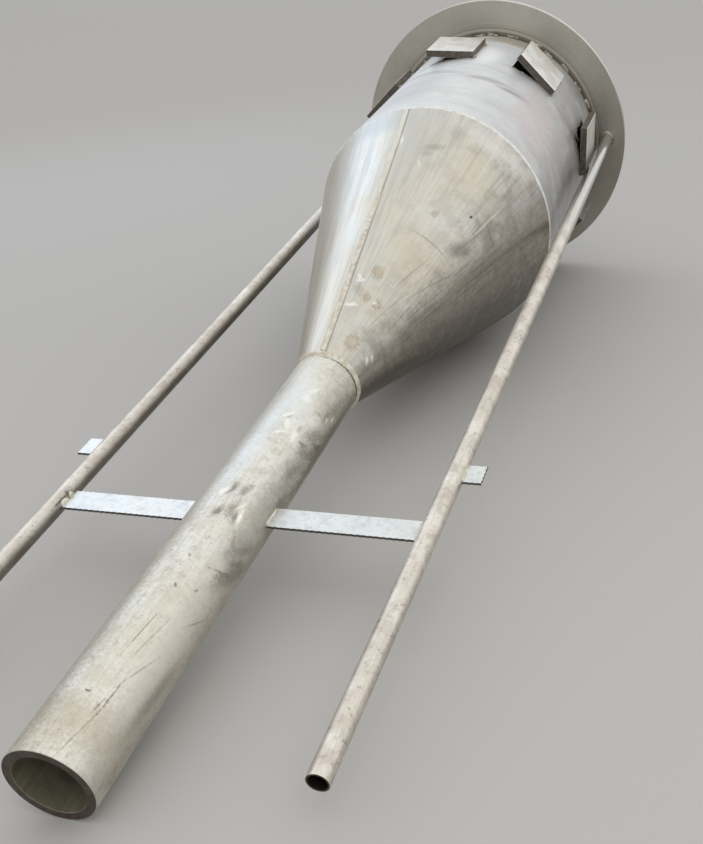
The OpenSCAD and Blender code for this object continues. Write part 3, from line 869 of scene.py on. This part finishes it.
# Pickled plate, with a pale dull face.
hood_face = bare_metal("pickled_plate_face", AXIS_LAY, "#e2e2de")
hood_face.rough = 0.45
stain(hood_face, "#e8eae8", 60 * MM, 0.5, 0.7)
stain(hood_face, "#cfc2b2", 44 * MM, 0.45, 0.55)
stain(hood_face, "#b5afa5", 6 * MM, 0.2, 0.3)
hood_face_finish = close_finish(hood_face, metallic=0.9, swell=0.2 * MM)
# Flame-cut edge: dark oxide over drag lines.
cut_edge = bare_metal("flame_cut_edge", AXIS_LAY, "#6a635b")
cut_edge.rough = 0.5
stain(cut_edge, "#8d867d", 9 * MM, 0.35, 0.6)
stain(cut_edge, "#4d463f", 5 * MM, 0.3, 0.6, drawn=True)
cut_edge_finish = close_finish(cut_edge, metallic=0.8, relief=0.2 * MM)
seat = Matrix.Translation((HOOD_SEAT, HOOD_LAP - HOOD_W, HOOD_TOP - HOOD_H))
axes = Matrix(((0, 0, 1, 0), (1, 0, 0, 0), (0, 1, 0, 0), (0, 0, 0, 1)))
for i in range(HOODS):
    plate = cut_plate(f"hood_{i + 1}", HOOD_W, HOOD_H, HOOD_T,
                      hood_turn(i).to_4x4() @ seat @ axes, hood_face_finish, cut_edge_finish,
                      40 + i)
    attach(plate, "root")
    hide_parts(f"hood_plate_{i + 1}")

TACK, TACK_LEG = 22 * MM, 7 * MM
count = ceil(TACK / BEAD_STEP)
tack_runs = []
for i in range(HOODS):
    turn = hood_turn(i)
    out = turn @ Vector((1, 1, 0)).normalized()
    across = turn @ Vector((-1, 1, 0)).normalized()
    for low in (HOOD_TOP - HOOD_H, HOOD_TOP - TACK):
        path = [(turn @ Vector((BARREL_R, HOOD_LAP, low + TACK * k / count)), out, across)
                for k in range(count + 1)]
        tack_runs.append(dict(path=path, width=TACK_LEG * 1.2, height=1.4 * MM,
                              rise=TACK_LEG * 0.5, pitch=RIPPLE * 1.2, seed=70 + i + low * 10,
                              uneven=0.4))
lay_beads("hood_tack_beads", tack_runs, sooty_weld, "hood_tack_welds")


# Slot edges
# The slots were burnt out by hand, so their lips are rough. One kept a tongue of shell at its
# open end, and another has a finger of metal between two cuts.
SLOT_W, SLOT_LAND, SLOT_LIP = 110 * MM, 10 * MM, 4 * MM
SLOT_LOW = HOOD_TOP - HOOD_H + SLOT_LIP
SHELL_WALL = 6 * MM


def shell_flap(name, hood, outline, lift):
    """A piece of shell left in a slot. outline is in the hood plate's own y and z, in
    millimetres, and the flap is bent out by lift at its tip."""
    turn = hood_turn(hood - 1)
    ys = [y for y, z in outline]
    points = []
    for wall in (0.0, SHELL_WALL):
        for y, z in outline:
            bent = lift * (y - min(ys)) / (max(ys) - min(ys))
            reach = BARREL_R - 0.2 * MM + bent - wall
            points.append(turn @ Vector((sqrt(reach ** 2 - (y * MM) ** 2), y * MM, z * MM)))
    n = len(outline)
    faces = [tuple(range(n)), tuple(range(2 * n - 1, n - 1, -1))]
    faces += [((k + 1) % n, k, n + k, n + (k + 1) % n) for k in range(n)]
    made = add_mesh(name, points, faces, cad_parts["barrel_shell"].data.materials[0],
                    cut_edge_finish, smooth=False)
    for face in made.data.polygons[2:]:
        face.material_index = 1
    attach(made, "root")


shell_flap("slot_tongue", 3, [
    (-121, -230), (-110, -230.5), (-98, -229), (-86, -231), (-83, -222), (-78, -208),
    (-82, -190), (-92, -170), (-104, -152), (-121, -140)], 4 * MM)
shell_flap("slot_finger", 1, [
    (-121, -237), (-101, -237), (-96, -231), (-110, -226), (-99, -222), (-82, -217),
    (-84, -212), (-100, -205), (-108, -180), (-104, -150), (-108, -112), (-121, -106)], 3 * MM)

# Slag and dross hang along the lower lip of each slot.
count = ceil(SLOT_W / BEAD_STEP)
lip_runs = []
for i in range(HOODS):
    turn = hood_turn(i)
    path = []
    for k in range(count + 1):
        y = -SLOT_LAND - SLOT_W * k / count
        out = Vector((sqrt(BARREL_R ** 2 - y ** 2), y, 0)) / BARREL_R
        path.append((turn @ (out * BARREL_R + Vector((0, 0, SLOT_LOW - 0.5 * MM))), turn @ out,
                     Vector((0, 0, 1))))
    lip_runs.append(dict(path=path, width=4 * MM, height=1.0 * MM, rise=-0.2 * MM,
                         pitch=RIPPLE * 1.6, seed=140 + i, uneven=0.9))
lay_beads("slot_lip_beads", lip_runs, sooty_weld)


# Side tubes
# Two plain tubes run down from the flange beside the dipleg. They are drawn stainless tube,
# shiny near the flange and matt beige below, where the pickling paste dried on them.
tube_low, tube_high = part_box("side_tube_right")
TUBE_X, TUBE_R = (tube_low.x + tube_high.x) / 2, (tube_high.x - tube_low.x) / 2
TUBE_LEG = 6 * MM
PASTE_UP_TO, SHINY_FROM = -900 * MM, -350 * MM
SHINY_ROUGH, PASTE_ROUGH = 0.15, 0.45
for side, way in (("right", 1), ("left", -1)):
    drawn_tube = bare_metal(f"drawn_stainless_tube_{side}", AXIS_LAY, "#cfcfcb",
                            lambda z: TUBE_R, way * TUBE_X)
    paste = add(drawn_tube.tree, "MapRange", SMOOTH, _0=drawn_tube.height, _1=PASTE_UP_TO,
                _2=SHINY_FROM, _3=1.0, _4=0.0)
    lay_over(drawn_tube, "#d8d1c5", paste)
    drawn_tube.rough = add(drawn_tube.tree, "Math", {"operation": "MULTIPLY_ADD"}, _0=paste,
                           _1=PASTE_ROUGH - SHINY_ROUGH, _2=SHINY_ROUGH)
    stain(drawn_tube, "#e9e5dc", 70 * MM, 0.4, 0.7, where=paste)
    stain(drawn_tube, "#b5ab9c", 26 * MM, 0.35, 0.5, where=paste)
    stain(drawn_tube, "#7d7263", 8 * MM, 0.12, 0.6, where=paste)
    stain(drawn_tube, "#7a7166", 34 * MM, 0.6, 0.35 if side == "right" else 0.6,
          where=low_side(drawn_tube, 0.1, 1.1))
    stain(drawn_tube, "#b3ac9f", 3 * MM, 0.4, 0.3, drawn=True)
    if side == "right":
        # Painted shadow down the tube's side that faces the hood plate, near the flange.
        scuff(drawn_tube, [(-128, -270, 17, 270, 0, "#6a6864", 0.65)], soft=0.9, torn=0.1)
    else:
        # Painted shade on the low side of the left tube.
        lay_over(drawn_tube, "#625c54", low_side(drawn_tube, -0.6, 0.9), thin=0.72)
        scuff(drawn_tube, [(-37, -1893, 20, 2.0, 88, "#453e35", 0.8),
                           (-26, -1871, 8, 5, 20, "#453e35", 0.8)], soft=0.6, torn=0.6)
    inner_side(drawn_tube, TUBE_R - 0.6 * MM, "#4a443b")
    dress(f"side_tube_{side}",
          close_finish(drawn_tube, metallic=0.9, swell=0.5 * MM, swell_size=50 * MM))
    lay_beads(f"tube_bead_{side}",
              [dict(path=girth_path(TUBE_R, FLANGE_UNDERSIDE, radians(-45), BEAD_STEP,
                                    centre=(way * TUBE_X, 0.0)),
                    width=TUBE_LEG * 2.1, height=2.6 * MM, rise=TUBE_LEG * 0.6,
                    pitch=RIPPLE * 1.4, seed=60 + way, closed=True, uneven=0.45)],
              sooty_weld, f"tube_weld_{side}")


# Braces and tabs
# Flat bar, bright from the coil and cut to length in short bites, holds the side tubes to the
# dipleg. A short tab of the same bar stands out from each tube.

# Stainless flat bar from the coil: bright and smooth, faintly blotched.
coil_bar = bare_metal("bright_flat_bar", AXIS_LAY, "#d8dbd8")
coil_bar.rough = 0.4
stain(coil_bar, "#dfe1de", 40 * MM, 0.5, 0.7)
stain(coil_bar, "#b5b9bb", 14 * MM, 0.3, 0.45)
stain(coil_bar, "#aaaba9", 4 * MM, 0.12, 0.4)
bar_face = close_finish(coil_bar, metallic=0.9, swell=0.2 * MM, swell_size=40 * MM)
# Sheared edge of the bar: dark grey, with torn metal that glints.
bar_edge = bare_metal("sheared_bar_edge", AXIS_LAY, "#5d5a57")
bar_edge.rough = 0.5
stain(bar_edge, "#8b8986", 5 * MM, 0.3, 0.6)
bar_edge_finish = close_finish(bar_edge, metallic=0.9)
BAR_WELD, BAR_WELD_INSET = 4 * MM, 3 * MM
# The left brace is held to its tube by heavy lumps, given as shares of the bar's width.
LUMP_SIZE = 2.2
LUMPS = ((0.0, 0.5), (0.56, 0.9))
axes = Matrix(((1, 0, 0, 0), (0, 0, -1, 0), (0, 1, 0, 0), (0, 0, 0, 1)))
for piece in ("brace_right", "brace_left", "tab_right", "tab_left"):
    low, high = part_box(piece)
    seat = Matrix.Translation((low.x, high.y, low.z))
    bar = cut_plate(f"{piece}_bar", high.x - low.x, high.z - low.z, high.y - low.y, seat @ axes,
                    bar_face, bar_edge_finish, len(piece), ragged=0.5 * MM, arris=0.4 * MM,
                    drag=1.6 * MM, scallop=(11 * MM, 1.1 * MM))
    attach(bar, "root")
    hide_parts(piece)

    way = 1 if piece.endswith("right") else -1
    if piece.startswith("tab"):
        weld_node = "tab_weld_" + piece[4:]
        ends = [(way * TUBE_X, TUBE_R, way)]
    else:
        weld_node = "brace_welds_" + piece[6:]
        ends = [(0.0, DIPLEG_R, way), (way * TUBE_X, TUBE_R, -way)]
    runs = []
    for middle_x, radius, outward in ends:
        for face_way, y in ((-1, low.y), (1, high.y)):
            x = middle_x + outward * sqrt(radius ** 2 - y ** 2)
            out = Vector((outward, face_way, 0)).normalized()
            across = Vector((outward, -face_way, 0)).normalized()
            start, stop = low.z + BAR_WELD_INSET, high.z - BAR_WELD_INSET
            count = ceil((stop - start) / BEAD_STEP)
            path = [(Vector((x, y, start + (stop - start) * k / count)), out, across)
                    for k in range(count + 1)]
            lumpy = piece == "brace_left" and radius == TUBE_R
            heavy = LUMP_SIZE if lumpy else 1.0
            for begin, end in LUMPS if lumpy else ((0.0, 1.0),):
                runs.append(dict(path=path[int(begin * count):int(end * count) + 1],
                                 width=BAR_WELD * 1.5 * heavy ** 1.15,
                                 height=1.2 * MM * heavy ** 1.5, rise=BAR_WELD * 0.35,
                                 pitch=RIPPLE * heavy, seed=90 + x * 10 + begin,
                                 uneven=1.0 if lumpy else 0.6))
    lay_beads(f"{piece}_bead", runs, hand_laid_weld, weld_node)
